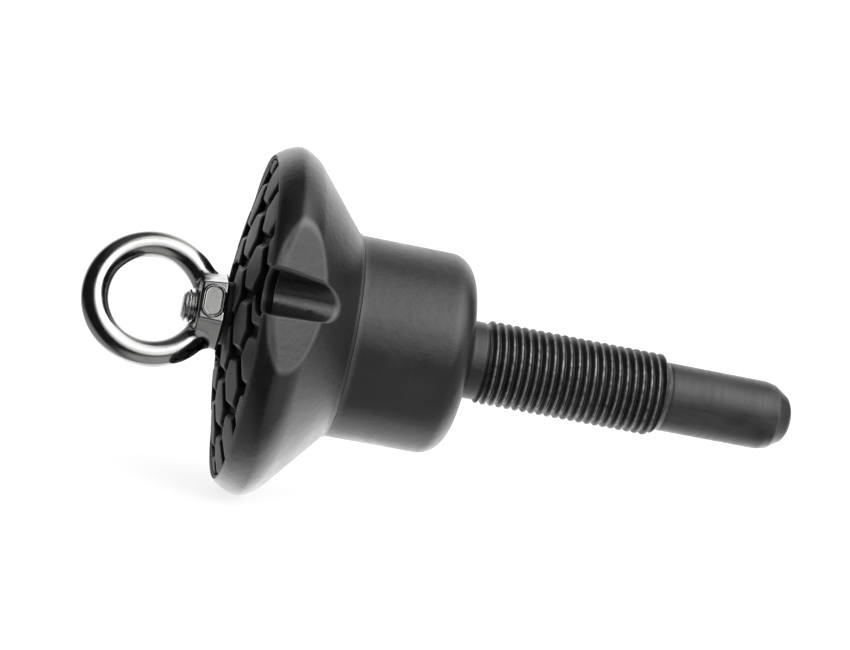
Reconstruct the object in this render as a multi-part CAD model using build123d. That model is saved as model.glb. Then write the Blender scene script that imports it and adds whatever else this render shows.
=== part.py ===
from build123d import *
import os
from math import asin, cos, degrees, radians, sin, sqrt, tan

# Screw-in tether anchor: a domed bumper on an M20 stud, with an eye nut on its face.
# Millimetres, +Z up. The X axis is the stud's axis, +X points to the pilot nose, and
# the origin is the centre of the collar's flat seat face.

# ---- Stud: M20 x 2 with a plain pilot nose and a hexagon head
SEAT_X = 0.0
THREAD_PITCH = 2.0
THREAD_CREST_R = 10.0
THREAD_ROOT_R = 8.8
THREAD_RUN_OUT = 0.3
NECK_R = 9.3
NECK_END_X = 5.8
THREAD_END_X = 50.4
NOSE_R = 8.3
NOSE_TAPER_X = 76.8
NOSE_EDGE_X = 79.0
NOSE_EDGE_R = 7.8
NOSE_TIP_X = 82.4
NOSE_TIP_R = 5.6
NOSE_END_X = 83.3
NOSE_END_R = 4.2
HEAD_ACROSS_FLATS = 30.0
HEAD_HEIGHT = 12.5
HEAD_FLOOR_X = -8.0

# ---- Collar
COLLAR_R = 24.0
COLLAR_END_FILLET = 6.1
COLLAR_TOP_X = -28.0
SPIGOT_R = 20.0
SPIGOT_TOP_X = -33.0
FIT_GAP = 0.1

# ---- Bumper body: cone, rounded rim, slots and petal flats
CREST_X = -45.8
CREST_R = 41.3
CREST_SLOPE = 12.4
CONE_ARC_R = 10.4
FACE_ARC_R = 10.9
CONE_SLOPE = 49.3
CONE_LIP_R = 24.35
BORDER_R = 38.1
CAP_FLOOR_X = -48.6
SLOT_ANGLE = 15.5
SLOT_WIDTH = 10.0
SLOT_FLOOR_R = 30.8
PETAL_FLAT_R = 37.5
PETAL_FLAT_TILT = 15.0

# ---- Tread cap
DOME_R = 139.4
DOME_TOP_X = -56.0
TILE_PITCH = 13.0
TILE_HEIGHT = 1.4
TILE_TOP_ACROSS = 9.6
TILE_BASE_ACROSS = 12.0
TILE_SINK = 0.6
TILE_RING_R = 37.3
RECESS_R = 12.4
RECESS_FLOOR_X = -52.2
CAP_CENTRE_HOLE_R = 9.0

# ---- Clamped stack behind the eye nut
PLATE_R = 26.0
PLATE_THICKNESS = 2.0
PLATE_BOSS_R = 8.8
CLEARANCE_HOLE_R = 4.3
CLAMP_WASHER_R = 12.0
CLAMP_WASHER_THICKNESS = 2.0
SPRING_WASHER_R = 7.4
SPRING_WASHER_HOLE_R = 4.1
SPRING_WASHER_GAP = 1.4
SPRING_WASHER_SLANT = 25.0
RUNNING_GAP = 0.05
TUBE_R = 11.0
TUBE_BORE_R = 8.0

# ---- M8 rod and its nuts
ROD_R = 4.0
ROD_ROOT_R = 3.4
ROD_PITCH = 1.25
ROD_END_X = -65.7
ROD_THREAD_TO_X = -50.5
ROD_INNER_END_X = -0.5
ROD_CHAMFER = 0.6
ROD_HOLE_R = 4.02
JAM_NUT_ACROSS_FLATS = 13.0
JAM_NUT_HEIGHT = 4.0

# ---- Eye nut
NUT_BASE_X = -56.25
NUT_TOP_X = -62.5
NUT_BASE_ACROSS = 16.6
NUT_TOP_ACROSS = 15.2
NUT_BORE_R = 4.06
RING_CENTRE_X = -72.8
RING_R = 13.15
RING_SECTION_R = 3.15
EYE_TURN = 21.0
PANEL_LENGTH = 7.0
PANEL_WIDTH = 4.8
PANEL_LIP = 0.7
PANEL_HEIGHT = 0.35

# ---- Drive pins
PIN_R = 1.5
PIN_HOLE_R = 1.52
PIN_CIRCLE_R = 17.6
PIN_FROM_X = -39.0
PIN_TO_X = -27.0


def turned(*points):
    """Solid of revolution about the X axis of a closed outline of (x, radius) points."""
    outline = Plane.XZ * make_face(Polyline(*points, close=True))
    return revolve(outline, Axis.X)


def barrel(x_from, x_to, radius, bore=0.0):
    """Plain cylinder or tube along the X axis."""
    return turned((x_from, bore), (x_to, bore), (x_to, radius), (x_from, radius))


def hexagon(x_from, x_to, across_from, across_to=None):
    """Hexagonal bar along X with corners at +Y and -Y, tapered when two sizes are given."""
    side = Plane.YZ.offset(x_from)
    start = side * RegularPolygon(across_from / sqrt(3), 6)
    if across_to is None:
        return extrude(start, x_to - x_from)
    end = Plane.YZ.offset(x_to) * RegularPolygon(across_to / sqrt(3), 6)
    return loft([start, end])


def about_axis(shape, angle):
    """The shape turned about the X axis, in degrees from +Y towards +Z."""
    return Rotation(angle, 0, 0) * shape


def thread_ridge(x_from, x_to, pitch, root, crest):
    """Helical ridge trimmed square at both ends, sunk a little below the root."""
    sink = 0.15 * (crest - root)
    path = Helix(pitch, x_to - x_from + 2 * pitch, root, (x_from - pitch, 0, 0), (1, 0, 0))
    base_half = 0.40 * pitch
    crest_half = 0.17 * pitch
    height = crest - root
    section = Plane(origin=path @ 0, x_dir=(1, 0, 0), z_dir=path % 0)
    outward = 1.0 if section.y_dir.dot((path @ 0) - Vector(x_from - pitch, 0, 0)) > 0 else -1.0
    profile = section * make_face(
        Polyline(
            (-base_half, -sink * outward),
            (base_half, -sink * outward),
            (crest_half, height * outward),
            (-crest_half, height * outward),
            close=True,
        )
    )
    ridge = sweep(profile, path=path, is_frenet=True)
    return ridge & barrel(x_from, x_to, crest + 1.0, root - 2 * sink)


def make_screw_stud():
    """Hexagon head, smooth neck, M20 x 2 thread and pilot nose, drilled for the rod."""
    head_top = HEAD_FLOOR_X - HEAD_HEIGHT
    head = hexagon(head_top, HEAD_FLOOR_X, HEAD_ACROSS_FLATS)
    shank = turned(
        (HEAD_FLOOR_X, 0),
        (HEAD_FLOOR_X, NECK_R),
        (NECK_END_X, NECK_R),
        (NECK_END_X, THREAD_ROOT_R),
        (THREAD_END_X, THREAD_ROOT_R),
        (THREAD_END_X, NOSE_R),
        (NOSE_TAPER_X, NOSE_R),
        (NOSE_EDGE_X, NOSE_EDGE_R),
        (NOSE_TIP_X, NOSE_TIP_R),
        (NOSE_END_X, NOSE_END_R),
        (NOSE_END_X, 0),
    )
    ridge_from = NECK_END_X + THREAD_RUN_OUT
    ridge_to = THREAD_END_X - THREAD_RUN_OUT
    ridge = thread_ridge(ridge_from, ridge_to, THREAD_PITCH, THREAD_ROOT_R, THREAD_CREST_R)
    rod_hole = barrel(head_top, SEAT_X, ROD_HOLE_R)
    return head + shank + ridge - rod_hole


def make_collar():
    """Cup that holds the stud's head in a hexagon pocket and spigots into the bumper."""
    outer = barrel(COLLAR_TOP_X, SEAT_X, COLLAR_R)
    outer = fillet(outer.edges().sort_by(Axis.X)[-1], COLLAR_END_FILLET)
    spigot = barrel(SPIGOT_TOP_X, COLLAR_TOP_X, SPIGOT_R)
    pocket = hexagon(SPIGOT_TOP_X, HEAD_FLOOR_X, HEAD_ACROSS_FLATS + 2 * FIT_GAP)
    neck_hole = barrel(HEAD_FLOOR_X, SEAT_X, NECK_R + FIT_GAP)
    return outer + spigot - pocket - neck_hole - pin_set(PIN_HOLE_R)


def pin_set(radius):
    """Two dowels along X, above and below the axis."""
    pin = Pos(0, 0, PIN_CIRCLE_R) * barrel(PIN_FROM_X, PIN_TO_X, radius)
    return Compound(children=[pin, about_axis(pin, 180)])


def slot_cutter():
    """Two opposite round-bottomed grooves, parallel to the axis, open outwards."""
    half = SLOT_WIDTH / 2
    reach = CREST_R + half
    centre_r = SLOT_FLOOR_R + half
    length = 2 * abs(CREST_X)
    groove = Pos(CREST_X, 0, centre_r) * (Rotation(0, 90, 0) * Cylinder(half, length))
    opening = Pos(CREST_X, 0, (centre_r + reach) / 2) * Box(length, SLOT_WIDTH, reach - centre_r)
    one = groove + opening
    facing_minus_y = 90 - SLOT_ANGLE
    return about_axis(one, facing_minus_y) + about_axis(one, facing_minus_y + 180)


def petal_cutter():
    """Two slabs whose inner faces leave the lens-shaped flats beside the slots."""
    depth = CREST_R
    slab = Pos(0, 0, depth / 2) * Box(4 * depth, 2 * depth, depth)
    placed = Pos(CREST_X, 0, PETAL_FLAT_R) * (Rotation(0, PETAL_FLAT_TILT, 0) * slab)
    facing_minus_y = 90 - SLOT_ANGLE
    return about_axis(placed, facing_minus_y) + about_axis(placed, facing_minus_y + 180)


def make_bumper_body():
    """Cone and pointed-arch rim with a recess for the tread cap, slots and petal flats."""
    a0 = radians(CREST_SLOPE)
    cone_centre = (CREST_X - CONE_ARC_R * sin(a0), CREST_R - CONE_ARC_R * cos(a0))
    cone_arc = CenterArc(cone_centre, CONE_ARC_R, 90 - CREST_SLOPE, CREST_SLOPE - CONE_SLOPE)
    face_centre = (CREST_X + FACE_ARC_R * sin(a0), CREST_R - FACE_ARC_R * cos(a0))
    border_angle = degrees(asin((BORDER_R - face_centre[1]) / FACE_ARC_R))
    face_sweep = 180 - border_angle - (90 + CREST_SLOPE)
    face_arc = CenterArc(face_centre, FACE_ARC_R, 90 + CREST_SLOPE, face_sweep)
    cone_start = cone_arc @ 1
    cone_end_x = cone_start.X + (cone_start.Y - CONE_LIP_R) / tan(radians(CONE_SLOPE))
    bore = TUBE_R + 2 * FIT_GAP
    spigot_bore = SPIGOT_R + FIT_GAP
    inside = Polyline(
        face_arc @ 1,
        (CAP_FLOOR_X, BORDER_R),
        (CAP_FLOOR_X, bore),
        (SPIGOT_TOP_X - FIT_GAP, bore),
        (SPIGOT_TOP_X - FIT_GAP, spigot_bore),
        (COLLAR_TOP_X, spigot_bore),
        (COLLAR_TOP_X, CONE_LIP_R),
        (cone_end_x, CONE_LIP_R),
        cone_start,
    )
    outline = Plane.XZ * make_face(Curve() + [face_arc, cone_arc, inside])
    body = revolve(outline, Axis.X) - petal_cutter() - slot_cutter()
    return body - pin_set(PIN_HOLE_R)


def dome(apex_x, radius):
    """Solid ball whose face-side pole is at apex_x on the axis."""
    return Pos(apex_x + radius, 0, 0) * Sphere(radius)


def tile_centres():
    """Hexagonal grid of (y, z) points that can carry part of a tile."""
    rows = int(TILE_RING_R // TILE_PITCH) + 2
    step_y = TILE_PITCH * sqrt(3) / 2
    for column in range(-rows - 1, rows + 2):
        for row in range(-rows, rows + 1):
            y = column * step_y
            z = (row + (column % 2) / 2) * TILE_PITCH
            distance = sqrt(y * y + z * z)
            if TILE_PITCH / 2 < distance < TILE_RING_R + 0.35 * TILE_PITCH:
                yield y, z


def make_tile(y, z):
    """One tapered hexagonal tread block standing square on the dome."""
    lower = TILE_HEIGHT + TILE_SINK
    block = hexagon(0, -lower, TILE_BASE_ACROSS + TILE_SINK, TILE_TOP_ACROSS)
    centre = DOME_TOP_X + DOME_R
    out = Vector(-sqrt(DOME_R**2 - y * y - z * z), y, z)
    foot = Vector(centre, 0, 0) + out * ((DOME_R - lower) / DOME_R)
    tilt_axis = Vector(-1, 0, 0).cross(out)
    tilt = Vector(-1, 0, 0).get_angle(out)
    turned_block = block.rotate(Axis((0, 0, 0), tilt_axis), tilt)
    return Pos(*foot) * turned_block


def make_tread_cap():
    """Domed cap with raised hexagonal tiles, a washer recess and a pocket for the plate."""
    edge_r = BORDER_R - FIT_GAP
    blank = barrel(DOME_TOP_X, CAP_FLOOR_X, edge_r)
    blank = blank & dome(DOME_TOP_X + TILE_HEIGHT, DOME_R - TILE_HEIGHT)
    ring = barrel(DOME_TOP_X - TILE_HEIGHT, CAP_FLOOR_X, TILE_RING_R, RECESS_R)
    tiles = Part() + [make_tile(y, z) for y, z in tile_centres()]
    cap = blank + (tiles & ring)
    cap -= barrel(DOME_TOP_X - TILE_HEIGHT, RECESS_FLOOR_X, RECESS_R)
    cap -= barrel(DOME_TOP_X, CAP_FLOOR_X, CAP_CENTRE_HOLE_R)
    cap -= barrel(CAP_FLOOR_X - PLATE_THICKNESS, CAP_FLOOR_X, PLATE_R + FIT_GAP)
    return cap - slot_cutter()


def make_load_plate():
    """Steel disc with a centre boss that carries the clamp washer."""
    top_x = CAP_FLOOR_X - PLATE_THICKNESS
    return turned(
        (RECESS_FLOOR_X, CLEARANCE_HOLE_R),
        (RECESS_FLOOR_X, PLATE_BOSS_R),
        (top_x, PLATE_BOSS_R),
        (top_x, PLATE_R),
        (CAP_FLOOR_X, PLATE_R),
        (CAP_FLOOR_X, CLEARANCE_HOLE_R),
    )


def make_clamp_washer():
    """Plain wide washer in the cap's recess."""
    outer_x = RECESS_FLOOR_X - CLAMP_WASHER_THICKNESS
    return barrel(outer_x, RECESS_FLOOR_X, CLAMP_WASHER_R, CLEARANCE_HOLE_R)


def make_spring_washer():
    """Split washer with a slanted gap, between the clamp washer and the eye nut."""
    inner_x = RECESS_FLOOR_X - CLAMP_WASHER_THICKNESS - RUNNING_GAP
    outer_x = NUT_BASE_X + RUNNING_GAP
    ring = barrel(outer_x, inner_x, SPRING_WASHER_R, SPRING_WASHER_HOLE_R)
    gap = Box(4 * (inner_x - outer_x), SPRING_WASHER_GAP, SPRING_WASHER_R)
    gap = Rotation(0, 0, SPRING_WASHER_SLANT) * gap
    return ring - Pos((inner_x + outer_x) / 2, 0, SPRING_WASHER_R) * gap


def make_spacer_tube():
    """Steel tube from the stud's head to the load plate."""
    return barrel(CAP_FLOOR_X, HEAD_FLOOR_X - HEAD_HEIGHT, TUBE_R, TUBE_BORE_R)


def make_jam_nut():
    """Thin M8 nut that locks the rod on the stud's head."""
    head_top = HEAD_FLOOR_X - HEAD_HEIGHT
    body = hexagon(head_top - JAM_NUT_HEIGHT, head_top, JAM_NUT_ACROSS_FLATS)
    return body - barrel(head_top - JAM_NUT_HEIGHT, head_top, ROD_HOLE_R)


def make_core_rod():
    """M8 rod, cut with its real thread where the eye nut runs."""
    core = turned(
        (ROD_END_X, 0),
        (ROD_END_X, ROD_ROOT_R - ROD_CHAMFER),
        (ROD_END_X + ROD_CHAMFER, ROD_ROOT_R),
        (ROD_THREAD_TO_X, ROD_ROOT_R),
        (ROD_THREAD_TO_X, ROD_R),
        (ROD_INNER_END_X, ROD_R),
        (ROD_INNER_END_X, 0),
    )
    ridge_from = ROD_END_X + ROD_CHAMFER + THREAD_RUN_OUT
    ridge_to = ROD_THREAD_TO_X - THREAD_RUN_OUT
    return core + thread_ridge(ridge_from, ridge_to, ROD_PITCH, ROD_ROOT_R, ROD_R)


def make_panel_lip():
    """Raised stadium-shaped rim on the hub's front facet, square to the hub's axis."""
    middle_x = (NUT_BASE_X + NUT_TOP_X) / 2
    mean_half = (NUT_BASE_ACROSS + NUT_TOP_ACROSS) / 4
    facet = Plane(origin=(middle_x, -mean_half, 0), x_dir=(0, 0, 1), z_dir=(0, -1, 0))
    outer = SlotOverall(PANEL_LENGTH, PANEL_WIDTH)
    inner = SlotOverall(PANEL_LENGTH - 2 * PANEL_LIP, PANEL_WIDTH - 2 * PANEL_LIP)
    lip = facet * (outer - inner)
    return extrude(lip, PANEL_HEIGHT) + extrude(lip, -PANEL_HEIGHT)


def make_eye_nut():
    """Ring on a tapered hexagon hub, turned about the axis to where it is tightened."""
    hub = Rotation(30, 0, 0) * hexagon(NUT_BASE_X, NUT_TOP_X, NUT_BASE_ACROSS, NUT_TOP_ACROSS)
    ring = Pos(RING_CENTRE_X, 0, 0) * (Rotation(90, 0, 0) * Torus(RING_R, RING_SECTION_R))
    front = make_panel_lip()
    nut = hub + ring + front + Rotation(180, 0, 0) * front
    nut -= barrel(RING_CENTRE_X + RING_R - 2 * RING_SECTION_R, NUT_BASE_X, NUT_BORE_R)
    return about_axis(nut, -EYE_TURN)


PIECES = {
    "screw_stud": make_screw_stud,
    "collar": make_collar,
    "drive_pins": lambda: pin_set(PIN_R),
    "bumper_body": make_bumper_body,
    "tread_cap": make_tread_cap,
    "load_plate": make_load_plate,
    "spacer_tube": make_spacer_tube,
    "jam_nut": make_jam_nut,
    "core_rod": make_core_rod,
    "clamp_washer": make_clamp_washer,
    "spring_washer": make_spring_washer,
    "eye_nut": make_eye_nut,
}

os.makedirs("parts", exist_ok=True)
for name, make in PIECES.items():
    export_step(make(), f"parts/{name}.step")
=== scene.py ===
"""Screw-in tether anchor: an eye nut on a domed rubber bumper, on a threaded stud with a pilot nose.

The X axis is the stud's axis, +X points to the nose and +Z is up. Everything is in metres and is
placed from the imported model's boxes.
"""

import logging
import math
from dataclasses import dataclass, field
from enum import Enum

import bmesh
import bpy
import numpy as np
from mathutils import Matrix, Vector


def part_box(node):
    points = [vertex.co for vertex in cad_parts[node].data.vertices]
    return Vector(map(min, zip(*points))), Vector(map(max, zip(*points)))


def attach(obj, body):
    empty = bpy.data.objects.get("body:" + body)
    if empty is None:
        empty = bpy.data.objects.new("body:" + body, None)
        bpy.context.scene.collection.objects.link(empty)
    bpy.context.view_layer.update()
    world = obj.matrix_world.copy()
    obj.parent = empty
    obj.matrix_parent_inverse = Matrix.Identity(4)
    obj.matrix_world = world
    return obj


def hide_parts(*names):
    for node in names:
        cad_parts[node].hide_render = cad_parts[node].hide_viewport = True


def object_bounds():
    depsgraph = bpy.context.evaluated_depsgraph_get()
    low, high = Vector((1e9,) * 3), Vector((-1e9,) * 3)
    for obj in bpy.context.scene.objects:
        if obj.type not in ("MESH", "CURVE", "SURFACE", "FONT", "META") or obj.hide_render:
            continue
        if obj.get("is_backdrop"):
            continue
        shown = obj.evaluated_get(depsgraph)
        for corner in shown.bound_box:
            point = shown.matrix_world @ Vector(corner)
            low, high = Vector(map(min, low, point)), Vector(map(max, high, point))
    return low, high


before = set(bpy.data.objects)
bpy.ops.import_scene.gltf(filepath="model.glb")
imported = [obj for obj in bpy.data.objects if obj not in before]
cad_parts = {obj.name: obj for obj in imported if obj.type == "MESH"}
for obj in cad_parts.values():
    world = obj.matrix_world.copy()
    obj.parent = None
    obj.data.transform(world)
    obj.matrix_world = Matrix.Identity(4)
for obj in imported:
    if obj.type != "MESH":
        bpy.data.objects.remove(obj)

LOG = logging.getLogger("anchor")
MM = 0.001
Array = np.ndarray
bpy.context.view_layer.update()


class Body(Enum):
    """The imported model's moving bodies."""

    ANCHOR = "anchor"
    WASHER = "washer"
    EYE = "eye"


# ---------------------------------------------------------------- surfaces


def smooth_step(t: Array) -> Array:
    """S-shaped ramp: 0 below 0, 1 above 1, and 3t^2 - 2t^3 between.

    Args:
        t: Any values.

    Returns:
        The ramp's values, from 0 to 1.
    """
    t = np.clip(t, 0.0, 1.0)
    return t * t * (3.0 - 2.0 * t)


def smooth_min(a: Array, b: Array, width: float | Array) -> Array:
    """The smaller of two values, with the corner between them rounded over a width.

    The formula is min(a, b) less h^2 width / 4, where h falls from 1 to 0 as a and b part.

    Args:
        a: First values.
        b: Second values.
        width: Difference at which the rounding starts.

    Returns:
        The rounded minimum.
    """
    h = np.clip(width - np.abs(a - b), 0.0, None) / width
    return np.minimum(a, b) - h * h * width / 4.0


def rounded_outline(corners: list[tuple[float, float, float]], step: float, closed: bool) -> Array:
    """Carries a polyline of (x, radius, fillet) corners through an arc at each corner.

    Each arc touches both legs at fillet * tan(turn / 2) from its corner, and straight runs are
    divided evenly.

    Args:
        corners: Corner positions with the fillet radius of each.
        step: Longest straight step.
        closed: Whether the last corner joins the first.

    Returns:
        Points along the outline as rows of (x, radius).
    """
    points = np.array([c[:2] for c in corners])
    radii = [c[2] for c in corners]
    count = len(corners)
    runs: list[Array] = []
    for i, radius in enumerate(radii):
        here = points[i]
        if radius == 0.0 or (not closed and i in (0, count - 1)):
            runs.append(here[None])
            continue
        back, ahead = points[i - 1] - here, points[(i + 1) % count] - here
        back, ahead = back / np.linalg.norm(back), ahead / np.linalg.norm(ahead)
        half = math.acos(float(np.clip(back @ ahead, -1.0, 1.0))) / 2.0
        middle = (back + ahead) / np.linalg.norm(back + ahead)
        centre = here + middle * radius / math.sin(half)
        sweep = math.pi - 2.0 * half
        pieces = max(3, int(math.ceil(sweep / math.radians(11.0))))
        turn = np.linspace(-sweep / 2.0, sweep / 2.0, pieces + 1)
        side = ahead - (ahead @ middle) * middle
        side = side / np.linalg.norm(side)
        runs.append(centre + radius * (-np.cos(turn)[:, None] * middle + np.sin(turn)[:, None] * side))
    rows = np.concatenate(runs + ([runs[0][:1]] if closed else []))
    gaps = np.linalg.norm(np.diff(rows, axis=0), axis=1)
    parts = np.maximum(1, np.ceil(gaps / step)).astype(int)
    along = np.repeat(np.arange(len(gaps)), parts)
    first = np.concatenate([[0], np.cumsum(parts)[:-1]])
    share = (np.arange(parts.sum()) - first[along]) / parts[along]
    dense = rows[along] * (1.0 - share[:, None]) + rows[along + 1] * share[:, None]
    keep = np.repeat(gaps > 1e-9, parts)
    dense = dense[keep]
    return dense if closed else np.concatenate([dense, rows[-1:]])


def around_x(profile: Array, angles: Array, radius: Array | None = None, x: Array | None = None) -> Array:
    """Turns an outline about the X axis: y is radius cos(angle) and z is radius sin(angle).

    Args:
        profile: Rows of (x, radius).
        angles: Angles about X in radians, from +Y towards +Z.
        radius: Radius of every grid point where it isn't the outline's own.
        x: Position of every grid point along X where it isn't the outline's own.

    Returns:
        Grid of points, outline rows by angles.
    """
    shape = (len(profile), len(angles))
    r = np.broadcast_to(profile[:, 1:2], shape) if radius is None else radius
    along = np.broadcast_to(profile[:, :1], shape) if x is None else x
    return np.stack([along, r * np.cos(angles), r * np.sin(angles)], axis=-1)


def even_angles(count: int) -> Array:
    """Evenly spaced angles of a full turn."""
    return np.arange(count) * (2.0 * math.pi / count)


def hexagon_radius(angles: Array, apothem: float, sharpness: float = 60.0) -> Array:
    """Radius of a hexagon with flats at +Z and -Z and slightly rounded corners.

    A flat's line is apothem / cos(angle from its normal), and a high power mean over the six
    normals picks the nearest flat.

    Args:
        angles: Angles from +Y towards +Z.
        apothem: Distance from the centre to a flat.
        sharpness: Power of the mean; higher is sharper.

    Returns:
        The radius at each angle.
    """
    normals = np.radians(30.0 + 60.0 * np.arange(6))
    facing = np.clip(np.cos(angles[..., None] - normals), 0.0, None)
    return apothem / (facing**sharpness).sum(axis=-1) ** (1.0 / sharpness)


@dataclass
class Surface:
    """A grid of points that becomes part of a mesh.

    A row or column direction can wrap round, and the first and last rows can close on a pole.
    """

    points: Array
    wrap_rows: bool = False
    wrap_columns: bool = True
    cap_ends: bool = False

    def corners_and_faces(self) -> tuple[Array, list[Array]]:
        """Vertices, quads and the triangles of both caps.

        Returns:
            Vertex rows, and face index arrays of four and of three columns.
        """
        rows, columns = self.points.shape[:2]
        index = np.arange(rows * columns).reshape(rows, columns)
        if self.wrap_rows:
            index = np.concatenate([index, index[:1]])
        if self.wrap_columns:
            index = np.concatenate([index, index[:, :1]], axis=1)
        quads = np.stack([index[:-1, :-1], index[1:, :-1], index[1:, 1:], index[:-1, 1:]], axis=-1)
        vertices = self.points.reshape(-1, 3)
        faces = [quads.reshape(-1, 4)]
        if self.cap_ends:
            ends = np.stack([self.points[0].mean(axis=0), self.points[-1].mean(axis=0)])
            vertices = np.concatenate([vertices, ends])
            low, high = len(vertices) - 2, len(vertices) - 1
            first, last = index[0], index[-1]
            faces.append(np.stack([first[:-1], first[1:], np.full(len(first) - 1, low)], axis=-1))
            faces.append(np.stack([last[1:], last[:-1], np.full(len(last) - 1, high)], axis=-1))
        return vertices, faces


def outward(vertices: Array, faces: list[Array]) -> list[Array]:
    """Turns all faces over when the closed surface's signed volume is negative.

    Args:
        vertices: Vertex rows.
        faces: Face index arrays.

    Returns:
        The face arrays, facing outwards.
    """
    volume = 0.0
    for block in faces:
        for k in range(1, block.shape[1] - 1):
            a, b, c = vertices[block[:, 0]], vertices[block[:, k]], vertices[block[:, k + 1]]
            volume += float(np.einsum("ij,ij->i", a, np.cross(b, c)).sum())
    return faces if volume > 0.0 else [block[:, ::-1] for block in faces]


def build_mesh(name: str, surfaces: list[Surface],
               attributes: dict[str, Array] | None = None) -> bpy.types.Object:
    """Makes one smooth-shaded object from closed surfaces in millimetres.

    Args:
        name: The piece's name.
        surfaces: Closed grids, each turned outwards by itself.
        attributes: Point values by name, in the order of the grids' points, caps last.

    Returns:
        The new object, at the origin.
    """
    blocks: list[Array] = []
    corners: list[Array] = []
    offset = 0
    for surface in surfaces:
        vertices, faces = surface.corners_and_faces()
        blocks += [block + offset for block in outward(vertices, faces)]
        corners.append(vertices)
        offset += len(vertices)
    vertices = np.concatenate(corners) * MM
    loops = np.concatenate([block.ravel() for block in blocks])
    totals = np.concatenate([np.full(len(block), block.shape[1]) for block in blocks])
    starts = np.concatenate([[0], np.cumsum(totals)[:-1]])
    mesh = bpy.data.meshes.new(name)
    mesh.vertices.add(len(vertices))
    mesh.vertices.foreach_set("co", vertices.astype(np.float32).ravel())
    mesh.loops.add(len(loops))
    mesh.loops.foreach_set("vertex_index", loops.astype(np.int32))
    mesh.polygons.add(len(totals))
    mesh.polygons.foreach_set("loop_start", starts.astype(np.int32))
    mesh.polygons.foreach_set("use_smooth", np.ones(len(totals), bool))
    mesh.update(calc_edges=True)
    mesh.validate()
    for label, values in (attributes or {}).items():
        layer = mesh.attributes.new(label, "FLOAT", "POINT")
        padded = np.zeros(len(mesh.vertices), np.float32)
        padded[: values.size] = values.ravel()
        layer.data.foreach_set("value", padded)
    piece = bpy.data.objects.new(name, mesh)
    bpy.context.scene.collection.objects.link(piece)
    return piece


# ---------------------------------------------------------------- finishes


class NodeGraph:
    """Short calls for building a material's nodes."""

    def __init__(self, name: str) -> None:
        """Starts an empty material with a Principled shader.

        Args:
            name: The material's name.
        """
        self.material = bpy.data.materials.new(name)
        self.material.use_nodes = True
        self.tree = self.material.node_tree
        self.shader = self.tree.nodes["Principled BSDF"]
        self.coordinates = self.tree.nodes.new("ShaderNodeTexCoord").outputs["Object"]

    def add(self, kind: str, **settings: object) -> bpy.types.Node:
        """Adds a node and sets its properties."""
        node = self.tree.nodes.new(kind)
        for key, value in settings.items():
            setattr(node, key, value)
        return node

    def link(self, source: bpy.types.NodeSocket, target: bpy.types.NodeSocket) -> None:
        """Joins two sockets."""
        self.tree.links.new(source, target)

    def stretched(self, scale: tuple[float, float, float]) -> bpy.types.NodeSocket:
        """Object coordinates scaled by axis."""
        node = self.add("ShaderNodeMapping")
        node.inputs["Scale"].default_value = scale
        self.link(self.coordinates, node.inputs["Vector"])
        return node.outputs["Vector"]

    def noise(self, scale: float, detail: float, rough: float = 0.55,
              vector: bpy.types.NodeSocket | None = None) -> bpy.types.NodeSocket:
        """Fractal noise on object coordinates.

        Args:
            scale: Features per metre.
            detail: Octaves.
            rough: Strength of the finer octaves.
            vector: Coordinates, if not the plain ones.

        Returns:
            The noise's value socket.
        """
        node = self.add("ShaderNodeTexNoise")
        node.inputs["Scale"].default_value = scale
        node.inputs["Detail"].default_value = detail
        node.inputs["Roughness"].default_value = rough
        self.link(vector or self.coordinates, node.inputs["Vector"])
        return node.outputs["Fac"]

    def cells(self, scale: float, vector: bpy.types.NodeSocket | None = None) -> bpy.types.NodeSocket:
        """Distance to the nearest random point."""
        node = self.add("ShaderNodeTexVoronoi")
        node.inputs["Scale"].default_value = scale
        self.link(vector or self.coordinates, node.inputs["Vector"])
        return node.outputs["Distance"]

    def attribute(self, name: str) -> bpy.types.NodeSocket:
        """A point value stored on the mesh."""
        return self.add("ShaderNodeAttribute", attribute_name=name).outputs["Fac"]

    def ramp(self, value: bpy.types.NodeSocket, low: float, high: float,
             out_low: float = 0.0, out_high: float = 1.0) -> bpy.types.NodeSocket:
        """Maps low..high to out_low..out_high and holds the ends."""
        node = self.add("ShaderNodeMapRange", clamp=True)
        for key, number in zip(("From Min", "From Max", "To Min", "To Max"), (low, high, out_low, out_high)):
            node.inputs[key].default_value = number
        self.link(value, node.inputs["Value"])
        return node.outputs["Result"]

    def combine(self, operation: str, a: bpy.types.NodeSocket,
                b: bpy.types.NodeSocket | float) -> bpy.types.NodeSocket:
        """One Math node on two values."""
        node = self.add("ShaderNodeMath", operation=operation)
        self.link(a, node.inputs[0])
        if isinstance(b, (int, float)):
            node.inputs[1].default_value = b
        else:
            self.link(b, node.inputs[1])
        return node.outputs[0]

    def blend(self, share: bpy.types.NodeSocket, a: object, b: object) -> bpy.types.NodeSocket:
        """Mixes two colours, each a tuple or a socket."""
        node = self.add("ShaderNodeMix", data_type="RGBA")
        self.link(share, node.inputs["Factor"])
        for socket, colour in ((node.inputs[6], a), (node.inputs[7], b)):
            if isinstance(colour, tuple):
                socket.default_value = (*colour, 1.0)
            else:
                self.link(colour, socket)
        return node.outputs[2]

    def relief(self, heights: list[tuple[bpy.types.NodeSocket, float]]) -> None:
        """Chains bump nodes into the shader's normal.

        Args:
            heights: Pairs of a height value and the depth in metres that it stands for.
        """
        normal = None
        for height, depth in heights:
            node = self.add("ShaderNodeBump")
            node.inputs["Strength"].default_value = 1.0
            node.inputs["Distance"].default_value = depth
            self.link(height, node.inputs["Height"])
            if normal is not None:
                self.link(normal, node.inputs["Normal"])
            normal = node.outputs["Normal"]
        self.link(normal, self.shader.inputs["Normal"])


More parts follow.
